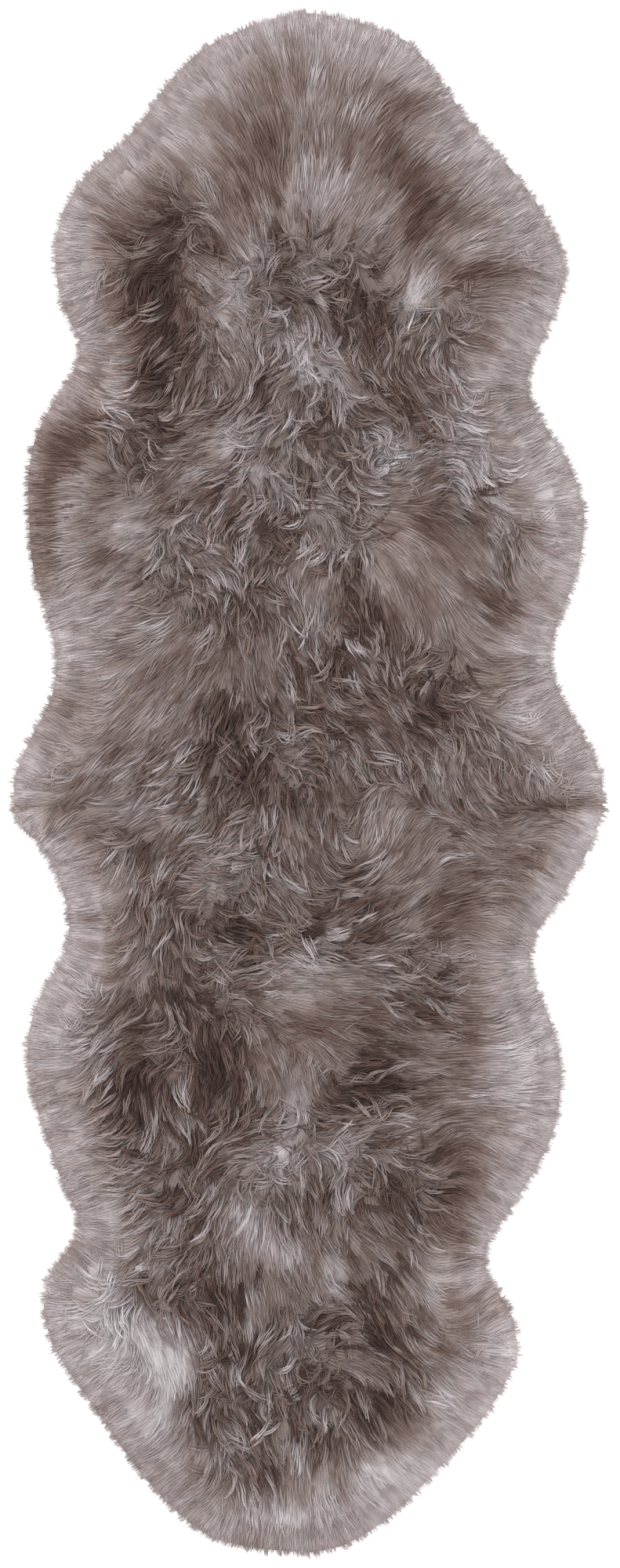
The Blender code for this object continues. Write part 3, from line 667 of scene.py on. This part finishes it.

# %% [markdown]
# The strands of a lock start side by side and draw together towards its tip, sleek wool a little
# and curled wool a lot. Each has its own length, crimp, thickness and shade, and every three of
# them make a tuft that shares a place and a shade.
# It rises out of the coat, lies on it, and dips at the tip. Curled locks stand a little prouder.
# At the rim the coat ends, so the height map brings the tips down to the floor.
# Under the curls, the partings and the seam lies a plainer crop that covers the coat.
# It lies under the other strands, so it is painted darker, as painted shade.
# The share of a pair is here how tangled the wool is. For the splay, the layer of a strand, the
# shade of a lock and the dark of the roots, partly their own colour and partly painted shade, it
# is how calm the wool is.

# %% Lay out the strands
CURL_FROM = 0.46
PARTED, AT_SEAM = 0.3, 0.25
SPREAD = 8 * MM
CURLED_SPREAD = 4.5 * MM
FLOOR_CLEARANCE = 0.6 * MM
HALF_THICK = 0.8
RISE = ([0.0, 0.12, 0.35, 0.75, 1.0], [-2.5, 0.1, 0.6, 0.9, 0.4])
GIRTH = ([0.0, 0.25, 0.6, 0.84, 1.0], [0.7, 1.0, 0.85, 0.5, 0.0])
GIRTH_VARIES = (0.7, 1.3)
BEGINS = 0.04
ENDS = (0.75, 1.0)
IN_A_TUFT = 3
TUFT_HOLDS = 0.6
DRAWN, DRAWN_WHEN, DRAWN_ALONG = (0.1, 0.6), (0.1, 0.7), (0.1, 0.95)
SPLAY = (1.4, -0.6)
CRIMP = (0.3, 0.4)
CRIMPS = 1.6
SHIFT = 6
CALM_RIM, CALM_TANGLE = (45 * MM, 90 * MM), (0.2, 0.55)
BUNDLE_LAYER = 4.5
LOCK_LAYER = (0.4, 1.2)
STRAND_LAYER = (0.5, -0.3)
LAYERS, LAYERED_ALONG = (-2, 7), (0.05, 0.5)
PROUDER = 2.5
THICK_ENOUGH = (0.5 * MM, 7 * MM)
STRAND_SHADE = 0.03
STRAND_SHADE_VARIES = 0.012
TUFT_SHADE = 0.035
PLAIN_PAINTED_SHADE = 0.04
BUNDLE_SHADE = (0.045, 0.12)
LOCK_SHADE = (0.08, -0.06)
SHADES_KEPT = (0.02, 0.97)
ROOT_TINT_AND_SHADE = (0.03, 0.55)

calm_lock = 1 - smooth_step(*CALM_TANGLE, tangle)
bundle_layer = np.random.default_rng(SEED + 10).normal(0, 1, len(bundles))[bundle_of]
lock_layer = chance.normal(0, 1, len(roots))
bundle_shade = np.random.default_rng(SEED + 11).normal(0, 1, len(bundles))[bundle_of]
lock_shade = chance.normal(0, 1, len(roots))


def lay_out(locks, per_lock, pattern, breadth, bundled, seed):
    dice = np.random.default_rng(seed)
    lines_here = lines if bundled else plain_lines
    own = np.repeat(locks, per_lock)
    n = len(own)

    def uniform(low, high):
        return dice.uniform(low, high, n)[:, None]

    def normal():
        return dice.normal(0, 1, n)[:, None]

    t = BEGINS + (uniform(*ENDS) - BEGINS) * pattern["stations"][None, :]
    low = np.minimum((t * STEPS).astype(int), STEPS - 1)
    share = (t * STEPS - low)[..., None]
    start, after = lines_here[own[:, None], low], lines_here[own[:, None], low + 1]
    ahead = (after - start) / (np.linalg.norm(after - start, axis=-1, keepdims=True) + 1e-9)
    aside = np.stack([-ahead[..., 1], ahead[..., 0]], axis=-1)
    loose = tangle[own][:, None]
    draw = scaled(DRAWN, smooth_step(*DRAWN_WHEN, loose))
    spread = CURLED_SPREAD if pattern is CURLED else SPREAD
    tuft = np.arange(n) // IN_A_TUFT
    tuft_side = dice.uniform(-1, 1, tuft[-1] + 1)[tuft]
    tuft_shade = dice.normal(0, 1, tuft[-1] + 1)[tuft]
    side = TUFT_HOLDS * tuft_side[:, None] + (1 - TUFT_HOLDS) * uniform(-1, 1)
    offset = side * spread * (1 - draw * smooth_step(*DRAWN_ALONG, t))
    splay = normal() * scaled(SPLAY, calm_lock[own])[:, None] * MM * t
    crimp = scaled(CRIMP, loose) * MM * np.sin(2 * np.pi * (t * CRIMPS + uniform(0, 1)))
    inland = (root_depth[own] > FRINGE_DEPTH)[:, None]
    shift = uniform(-1, 1) * SHIFT * MM * inland
    spot = start * (1 - share) + after * share
    spot = spot + aside * (offset + splay + crimp)[..., None] + ahead * shift[..., None]
    coat = look_up(coat_map, spot)
    calm = 1 - smooth_step(*CALM_RIM, look_up(depth_map, spot[:, -2]))
    calm = np.maximum(calm, calm_lock[own])
    of_bundle = bundle_layer[own] * BUNDLE_LAYER * tangle[own]
    of_lock = lock_layer[own] * scaled(LOCK_LAYER, tangle[own])
    layer = bundled * (of_bundle + of_lock)[:, None] + normal() * scaled(STRAND_LAYER, calm)[:, None]
    layer = np.clip(layer, *LAYERS) * smooth_step(*LAYERED_ALONG, t)
    layer = layer + np.interp(t, *RISE) * (1 + PROUDER * loose * bundled)
    lift = coat + layer * MM * smooth_step(*THICK_ENOUGH, coat)
    girth = breadth * uniform(*GIRTH_VARIES) * np.interp(pattern["stations"], *GIRTH)
    lift = np.maximum(lift, FLOOR_CLEARANCE + HALF_THICK * girth)
    shade = look_up(shade_map, spot[:, -2]) + STRAND_SHADE
    shade += dice.normal(0, 1, n) * STRAND_SHADE_VARIES + tuft_shade * TUFT_SHADE
    # Painted shade: the plain crop underneath is darker.
    shade -= (not bundled) * PLAIN_PAINTED_SHADE
    of_bundle = bundle_shade[own] * scaled(BUNDLE_SHADE, tangle[own])
    shade += of_bundle + lock_shade[own] * scaled(LOCK_SHADE, calm)
    path = np.concatenate([spot, lift[..., None]], axis=-1)
    laid = {"path": path, "girth": girth, "pattern": pattern}
    return {**laid, "shade": np.clip(shade, *SHADES_KEPT), "from": scaled(ROOT_TINT_AND_SHADE, calm)}


every_lock = np.arange(len(roots))
is_curled = tangle >= CURL_FROM
needs_cover = is_curled | (spring > PARTED) | (look_up(seam_map, roots) > AT_SEAM)
crops = [
    lay_out(every_lock[~is_curled], 6, SLEEK, 0.6 * MM, True, SEED + 4),
    lay_out(every_lock[needs_cover], 5, SLEEK, 0.75 * MM, False, SEED + 12),
    lay_out(every_lock[is_curled], 4, CURLED, 0.85 * MM, True, SEED + 5),
]
print("sleek and curled strands:", [len(c["path"]) for c in crops])

# %% [markdown]
# Bending a pattern along its path is a matter of arithmetic: every point moves to its station,
# out to the side and up by the girth there. The joined meshes are cut into bands across the rug,
# so that none is too heavy to handle, and each band stands for the fleece of its pelt.
# On the map called OFBake the shade of a strand goes across, dark ones on the left, and the way
# from root to tip goes up. A material that reads the map can colour each strand by itself.

# %% Join everything into bands of wool
BANDS = 3
STRIPE = 0.008
RIDGE_STRIPE = 0.3
MAP_TOP = 0.97
CAP_LOWER = 0.02


def bent(crop, chosen):
    pattern, path, girth = crop["pattern"], crop["path"][chosen], crop["girth"][chosen]
    along = np.gradient(path, axis=1)
    along /= np.linalg.norm(along, axis=-1, keepdims=True) + 1e-9
    side = np.cross(along, np.array([0.0, 0.0, 1.0]))
    side /= np.linalg.norm(side, axis=-1, keepdims=True) + 1e-9
    top = np.cross(side, along)
    place = pattern["place"]
    points = path[:, place] + side[:, place] * (girth[:, place] * pattern["side"])[..., None]
    return points + top[:, place] * (pattern["ridge"] * girth[:, place] * pattern["top"])[..., None]


def map_of(crop, chosen):
    pattern = crop["pattern"]
    corners = np.concatenate([np.array(f) for f in pattern["faces"]])
    caps = np.concatenate([np.full(len(f), max(pattern["place"][f]) == 0) for f in pattern["faces"]])
    ridge = pattern["top"][corners] > 0.5
    begin = crop["from"][chosen][:, None]
    up = begin + (MAP_TOP - begin) * pattern["stations"][pattern["place"][corners]]
    up = up - CAP_LOWER * (caps & ridge)
    stripe = STRIPE * (pattern["side"][corners] + RIDGE_STRIPE * ridge)
    across = crop["shade"][chosen][:, None] + stripe[None, :]
    return np.stack([across, up], axis=-1)


def wool_mesh(name, parts):
    points, maps, corners, sizes, first = [], [], [], [], 0
    for crop, chosen in parts:
        body = bent(crop, chosen)
        faces = crop["pattern"]["faces"]
        flat = np.concatenate([np.array(f) for f in faces])
        per = body.shape[1]
        corners.append((flat[None, :] + first + per * np.arange(len(body))[:, None]).ravel())
        sizes.append(np.tile([len(f) for f in faces], len(body)))
        points.append(body.reshape(-1, 3))
        maps.append(map_of(crop, chosen).reshape(-1, 2))
        first += body.shape[0] * per
    corners, sizes = np.concatenate(corners), np.concatenate(sizes)
    mesh = bpy.data.meshes.new(name)
    mesh.vertices.add(first)
    mesh.vertices.foreach_set("co", np.concatenate(points).ravel())
    mesh.loops.add(len(corners))
    mesh.loops.foreach_set("vertex_index", corners.astype(np.int32))
    mesh.polygons.add(len(sizes))
    mesh.polygons.foreach_set("loop_start", (np.cumsum(sizes) - sizes).astype(np.int32))
    mesh.polygons.foreach_set("use_smooth", np.ones(len(sizes), dtype=bool))
    mesh.update(calc_edges=True)
    mesh.uv_layers.new(name="OFBake").data.foreach_set("uv", np.concatenate(maps).ravel())
    mesh.validate()
    return placed(name, mesh), int((sizes - 2).sum())


def band_edges(low, high, weights, values):
    order = np.argsort(values)
    heap = np.cumsum(weights[order])
    cuts = [values[order][np.searchsorted(heap, heap[-1] * k / BANDS)] for k in range(1, BANDS)]
    return [low, *cuts, high]


wool_pieces = []
all_triangles = 0
for pelt, low, high in (("upper", SEAM_Y, 1.0), ("lower", -1.0, SEAM_Y)):
    ys = [crop["path"][:, 0, 1] for crop in crops]
    heft = [sum(len(f) - 2 for f in crop["pattern"]["faces"]) for crop in crops]
    weights = [np.full(len(y), each) for y, each in zip(ys, heft)]
    both, heavy = np.concatenate(ys), np.concatenate(weights)
    inside = (both > low) & (both <= high)
    edges = band_edges(low, high, heavy[inside], both[inside])
    for k in range(BANDS):
        parts = [(c, np.flatnonzero((y > edges[k]) & (y <= edges[k + 1]))) for c, y in zip(crops, ys)]
        piece, triangles = wool_mesh(f"wool_{pelt}_{k + 1}", parts)
        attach(piece, "root")
        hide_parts(f"fleece_{pelt}")
        wool_pieces.append(piece)
        all_triangles += triangles
        print(piece.name, "triangles:", triangles)
print("wool in all:", all_triangles)

# %% [markdown]
# Seen from above, most of the wool is one soft coat, and single locks only show where they lift
# or curl. So under the strands lies a coat: a closed body with the lumps of the pile, on which
# the material draws streaks the way the wool is combed. It begins as a flat grid cut to the
# outline, is raised to the pile and closed below. The comb's direction, the shade and how deep
# the coat is buried among curls go along as attributes of its points. The coat is painted a
# little darker than the strands and darker still where it is buried, as painted shade.

# %% A sheet cut to the outline
COAT_DEPTH = 4 * MM
COAT_PITCH = 5.5 * MM
COAT_FLOOR = 2.3 * MM
COAT_GAP = 0.05 * MM
COAT_THINNEST = 0.5 * MM
COAT_PAINTED_SHADE = 0.02
BURIED_SHADE = 0.4
SEAM_ENDS_SLOPE = 0.4
LEAST_SLOPE = 0.2
FURTHEST = 1.5


def trimmed_grid(pelt, pitch, depth, seam_gap):
    low_y = SEAM_Y + seam_gap if pelt == "upper" else cad_box[0].y - pitch
    high_y = SEAM_Y - seam_gap if pelt == "lower" else cad_box[1].y + pitch
    wide, tall = cad_box[1].x - cad_box[0].x + 2 * pitch, high_y - low_y
    sheet = bmesh.new()
    middle = Matrix.Translation(((cad_box[0].x + cad_box[1].x) / 2, (low_y + high_y) / 2, 0))
    stretch = Matrix.Diagonal((wide / 2, tall / 2, 1, 1))
    size = {"x_segments": round(wide / pitch), "y_segments": round(tall / pitch), "size": 1}
    bmesh.ops.create_grid(sheet, matrix=middle @ stretch, **size)
    spots = np.array([v.co.xy[:] for v in sheet.verts])
    outside = look_up(depth_map, spots) < depth
    bmesh.ops.delete(sheet, geom=[v for v, out in zip(sheet.verts, outside) if out], context="VERTS")
    bmesh.ops.delete(sheet, geom=[v for v in sheet.verts if not v.link_faces], context="VERTS")
    for v in [v for v in sheet.verts if v.is_boundary]:
        on_seam = abs(v.co.y - SEAM_Y) < pitch / 3
        begun = v.co.copy()
        for _ in range(TRIMS):
            here = np.array(v.co.xy[:])
            over = float(look_up(depth_map, here)) - depth
            gx, gy = float(look_up(inward_x, here)), float(look_up(inward_y, here))
            if on_seam and abs(gx) < SEAM_ENDS_SLOPE:
                break
            steep = gx * gx if on_seam else max(gx * gx + gy * gy, LEAST_SLOPE)
            v.co.x -= over * gx / steep
            v.co.y -= 0 if on_seam else over * gy / steep
            if (v.co - begun).length > FURTHEST * pitch:
                v.co = begun + (v.co - begun).normalized() * FURTHEST * pitch
    return sheet


def closed_below(sheet, floor):
    rim = [e for e in sheet.edges if e.is_boundary]
    wall = bmesh.ops.extrude_edge_only(sheet, edges=rim)["geom"]
    for v in wall:
        if isinstance(v, bmesh.types.BMVert):
            v.co.z = floor
    bmesh.ops.edgeloop_fill(sheet, edges=[e for e in wall if isinstance(e, bmesh.types.BMEdge)])
    bmesh.ops.recalc_face_normals(sheet, faces=sheet.faces)


def finished(name, shape, smooth=True):
    mesh = bpy.data.meshes.new(name)
    shape.to_mesh(mesh)
    shape.free()
    mesh.polygons.foreach_set("use_smooth", np.full(len(mesh.polygons), smooth))
    piece = placed(name, mesh)
    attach(piece, "root")
    return piece


# %% Raise the coat
def note(mesh, name, kind, socket, values):
    values = np.ascontiguousarray(values).ravel()
    mesh.attributes.new(name, kind, "POINT").data.foreach_set(socket, values)


coat_pieces = []
for pelt in ("upper", "lower"):
    sheet = trimmed_grid(pelt, COAT_PITCH, COAT_DEPTH, COAT_GAP)
    spots = np.array([v.co.xy[:] for v in sheet.verts])
    for v, z in zip(sheet.verts, np.maximum(look_up(under_map, spots), COAT_FLOOR + COAT_THINNEST)):
        v.co.z = z
    closed_below(sheet, COAT_FLOOR)
    piece = finished(f"coat_{pelt}", sheet)
    spots = np.array([v.co.xy[:] for v in piece.data.vertices])
    combed = np.stack([look_up(comb_x, spots), look_up(comb_y, spots), 0 * spots[:, 0]], axis=1)
    note(piece.data, "combed", "FLOAT_VECTOR", "vector", combed)
    # Painted shade: the coat under the strands is made a little darker.
    note(piece.data, "shade", "FLOAT", "value", look_up(shade_map, spots) - COAT_PAINTED_SHADE)
    # Painted shade: the coat is darker where curls bury it.
    note(piece.data, "buried", "FLOAT", "value", 1 - BURIED_SHADE * look_up(tangle_map, spots))
    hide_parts(f"fleece_{pelt}")
    coat_pieces.append(piece)
    print(piece.name, "points:", len(piece.data.vertices))

# %% [markdown]
# The hide is a tanned skin about 2 mm thick. Its flesh side is sueded and rests on the floor.
# Trimming knives leave its edge a little wavy, and tanning leaves it a little uneven.
# It is a sheet of cloth for our purposes, cut to this outline, and its flat area is reckoned.

# %% Cut the two hides
HIDE_PITCH = 12 * MM
HIDE_TOP = 2.0 * MM
HIDE_UNDER = 0.2 * MM
HIDE_GAP = 0.3 * MM
UNEVEN, UNEVEN_SPAN = 0.25 * MM, 45 * MM
WAVER, WAVER_SPAN = 1.2 * MM, 30 * MM

hide_pieces = []
for pelt in ("upper", "lower"):
    sheet = trimmed_grid(pelt, HIDE_PITCH, WOOL_REACH, HIDE_GAP)
    for v in sheet.verts:
        v.co.z = HIDE_TOP - UNEVEN * (1 + noise.noise(Vector((v.co.x, v.co.y, 0.7)) / UNEVEN_SPAN))
        if v.is_boundary and abs(v.co.y - SEAM_Y) > 1 * MM:
            waver = WAVER * noise.noise(Vector((v.co.x, v.co.y, 2.1)) / WAVER_SPAN)
            v.co.x += waver
            v.co.y += waver
    area = sum(f.calc_area() for f in sheet.faces)
    closed_below(sheet, HIDE_UNDER)
    piece = finished(f"tanned_hide_{pelt}", sheet, smooth=False)
    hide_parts(f"hide_{pelt}")
    hide_pieces.append(piece)

# %% [markdown]
# The pelts are joined by a furrier's whip stitch: a thread that goes over the two edges again
# and again, slanting, every few millimetres. It shows only from below, as a neat ladder.
# One stitch is a short bar of five sides, and bmesh repeats it along the seam.

# %% Sew the seam
STITCH_PITCH = 5 * MM
STITCH_REACH = 3 * MM
THREAD = 0.25 * MM
STITCH_SLANT = -68
STITCHES_STOP = 3 * MM

along_seam = np.linspace(cad_box[0].x, cad_box[1].x, 400)
seam_depth = look_up(depth_map, np.stack([along_seam, np.full(len(along_seam), SEAM_Y)], axis=1))
sewn = along_seam[seam_depth > WOOL_REACH + STITCHES_STOP]
stitch_count = int((sewn.max() - sewn.min()) / STITCH_PITCH)
slant = Matrix.Rotation(math.radians(STITCH_SLANT), 4, "Z") @ Matrix.Rotation(math.radians(90), 4, "Y")
bar = {"cap_ends": True, "segments": 5, "radius1": THREAD, "radius2": THREAD}
seam = bmesh.new()
for k in range(stitch_count):
    spot = Matrix.Translation((sewn.min() + (k + 0.5) * STITCH_PITCH, SEAM_Y, THREAD))
    bmesh.ops.create_cone(seam, depth=2 * STITCH_REACH, matrix=spot @ slant, **bar)
stitches = finished("seam_stitches", seam)
print("stitches:", stitch_count)

# %% [markdown]
# Combed wool: long fibre of a sheep, tanned, dyed taupe and brushed.
# To the eye it is brown at the root and silvery at the tip, with a soft gleam and no hard glint.
# The darker root is partly the wool's own colour and partly painted shade where roots lie under
# other strands.
# The ramp goes from the darkest strand to the lightest. Its stops follow mean colours that were
# measured on plain areas of the photograph.

# %% Material of the combed wool
WOOL_SHADES = [
    (0.0, "#432e29"), (0.2, "#6a4f47"), (0.4, "#907c76"),
    (0.6, "#aea09f"), (0.8, "#cac0c2"), (1.0, "#e0d9db"),
]  # fmt: skip
FIBRE = {"IOR": 1.54, "Specular IOR Level": 0.25, "Sheen Weight": 0.04}


def dyed(tree, shade):
    tone = node(tree, "ValToRGB", {"Fac": shade})
    stops = tone.color_ramp.elements
    while len(stops) < len(WOOL_SHADES):
        stops.new(0.5)
    for stop, (at, colour) in zip(stops, WOOL_SHADES):
        stop.position = at
        stop.color = linear(colour)
    return tone.outputs["Color"]


combed_wool, tree = new_material("combed_wool")
where = node(tree, "UVMap", uv_map="OFBake")
parts = node(tree, "SeparateXYZ", {"Vector": where.outputs["UV"]})
# Darker towards the root: partly the wool's own colour, partly painted shade.
fade = {"From Min": 0.05, "From Max": 0.85, "To Min": 0.42, "To Max": 1.2}
root_tint_and_shade = node(tree, "MapRange", {"Value": parts.outputs["Y"], **fade})
tint = blend(tree, 1.0, dyed(tree, parts.outputs["X"]), root_tint_and_shade.outputs["Result"], "MULTIPLY")
put_on(wool_pieces, combed_wool, {"Base Color": tint, "Roughness": 0.65, **FIBRE})

# %% [markdown]
# The coat has the same wool, but its streaks can't follow strands. A Gabor texture draws waves
# that may be turned from point to point, so the comb's direction turns them.
# Two of them, of 3.6 mm and 1.8 mm, make streaks like those of the strands that lie on them.
# Little light gets in between curls, so where the coat is buried it is painted darker, as painted
# shade. The whole coat is a little greyer.

# %% Material of the coat
COAT_WAVES = [(24 * MM, 3.6 * MM, 0.3), (14 * MM, 1.8 * MM, 0.3)]

combed_coat, tree = new_material("combed_coat")
place = node(tree, "TexCoord")
combed = node(tree, "Attribute", attribute_name="combed")
parts = node(tree, "SeparateXYZ", {"Vector": combed.outputs["Vector"]})
heading = reckon(tree, "ARCTAN2", parts.outputs["Y"], parts.outputs["X"])
turned = reckon(tree, "ADD", heading, math.pi / 2)
shade = node(tree, "Attribute", attribute_name="shade").outputs["Fac"]
waves = 0.0
for patch, spacing, strength in COAT_WAVES:
    size = {"Scale": 1 / patch, "Frequency": patch / spacing, "Anisotropy": 1.0}
    across = {"Vector": place.outputs["Object"], "Orientation": turned}
    gabor = node(tree, "TexGabor", {**across, **size})
    wave = reckon(tree, "SUBTRACT", gabor.outputs["Value"], 0.5)
    shade = reckon(tree, "ADD", shade, reckon(tree, "MULTIPLY", wave, 2 * strength))
    waves = reckon(tree, "ADD", waves, wave)
greyer = node(tree, "HueSaturation", {"Saturation": 0.85, "Color": dyed(tree, shade)})
# Painted shade where the coat is buried among curls.
buried = node(tree, "Attribute", attribute_name="buried")
tint = blend(tree, 1.0, greyer.outputs["Color"], buried.outputs["Fac"], "MULTIPLY")
relief = node(tree, "Bump", {"Height": waves, "Distance": 2 * MM, "Strength": 0.6})
look = {"Base Color": tint, "Roughness": 0.7, **FIBRE, "Normal": relief.outputs["Normal"]}
put_on(coat_pieces, combed_coat, look)

# %% [markdown]
# Sueded hide: tanned sheep leather, tan, with the short dull nap of its flesh side.
# The dye took it unevenly, so it is cloudy.

# %% Material of the sueded hide
suede, tree = new_material("sueded_hide")
place = node(tree, "TexCoord").outputs["Object"]
nap = node(tree, "TexNoise", {"Vector": place, "Scale": 900.0, "Detail": 3.0})
cloud = node(tree, "TexNoise", {"Vector": place, "Scale": 9.0, "Detail": 5.0})
tan = blend(tree, cloud.outputs["Fac"], linear("#a9937b"), linear("#cdb99f"))
relief = node(tree, "Bump", {"Height": nap.outputs["Fac"], "Distance": 0.2 * MM, "Strength": 0.6})
put_on(hide_pieces, suede, {"Base Color": tan, "Roughness": 0.9, "Normal": relief.outputs["Normal"]})

# %% [markdown]
# Waxed thread: twisted yarn, a shade darker than the hide, whose plies show as fine stripes.

# %% Material of the thread
thread, tree = new_material("waxed_thread")
place = node(tree, "TexCoord").outputs["Object"]
ply = node(tree, "TexWave", {"Vector": place, "Scale": 900.0})
yarn = blend(tree, ply.outputs["Fac"], linear("#6b5d50"), linear("#8d7e6e"))
put_on([stitches], thread, {"Base Color": yarn, "Roughness": 0.6})

# %% [markdown]
# The studio is a pale floor under soft light from all round, a little more of it from above left,
# so that locks cast faint shadows. The floor glows a little, because in the photo it is pure white.
# The camera hangs over the rug and looks straight down.

# %% Set up the studio
FLOOR_SIZE = 8.0
SKY_STRENGTH = 0.72

floor_shape = bmesh.new()
bmesh.ops.create_grid(floor_shape, x_segments=1, y_segments=1, size=FLOOR_SIZE / 2)
floor_mesh = bpy.data.meshes.new("studio_floor")
floor_shape.to_mesh(floor_mesh)
floor_shape.free()
floor = placed("studio_floor", floor_mesh)
paper, tree = new_material("floor_paper")
glow = {"Emission Color": linear("#ffffff"), "Emission Strength": 0.5}
put_on([floor], paper, {"Base Color": linear("#f8f8f8"), "Roughness": 0.9, **glow})

world = bpy.data.worlds.new("studio")
world.use_nodes = True
sky = world.node_tree.nodes["Background"].inputs
sky["Color"].default_value = (1, 1, 1, 1)
sky["Strength"].default_value = SKY_STRENGTH
bpy.context.scene.world = world


def softbox(name, spot, size, power):
    lamp = bpy.data.lights.new(name, "AREA")
    lamp.shape = "DISK"
    lamp.size = size
    lamp.energy = power
    holder = placed(name, lamp)
    holder.location = spot
    holder.rotation_euler = (-Vector(spot)).to_track_quat("-Z", "Y").to_euler()


softbox("key_light", (-2.0, 2.2, 3.0), 4.0, 95)
softbox("fill_light", (2.2, -1.6, 3.0), 2.2, 55)

# %% Hang the camera
PHOTO_LENGTH = 1.8266
PHOTO_MIDDLE = (2.2 * MM, 0.4 * MM)
LENS = 85
SENSOR = 36

camera_data = bpy.data.cameras.new("overhead")
camera_data.sensor_fit = "AUTO"
camera_data.sensor_width = SENSOR
camera_data.lens = LENS
camera = placed("overhead", camera_data)
camera.location = (*PHOTO_MIDDLE, LENS / SENSOR * PHOTO_LENGTH)
bpy.context.scene.camera = camera
bpy.context.scene.view_settings.view_transform = "Standard"

# %% Finish
print("finished")
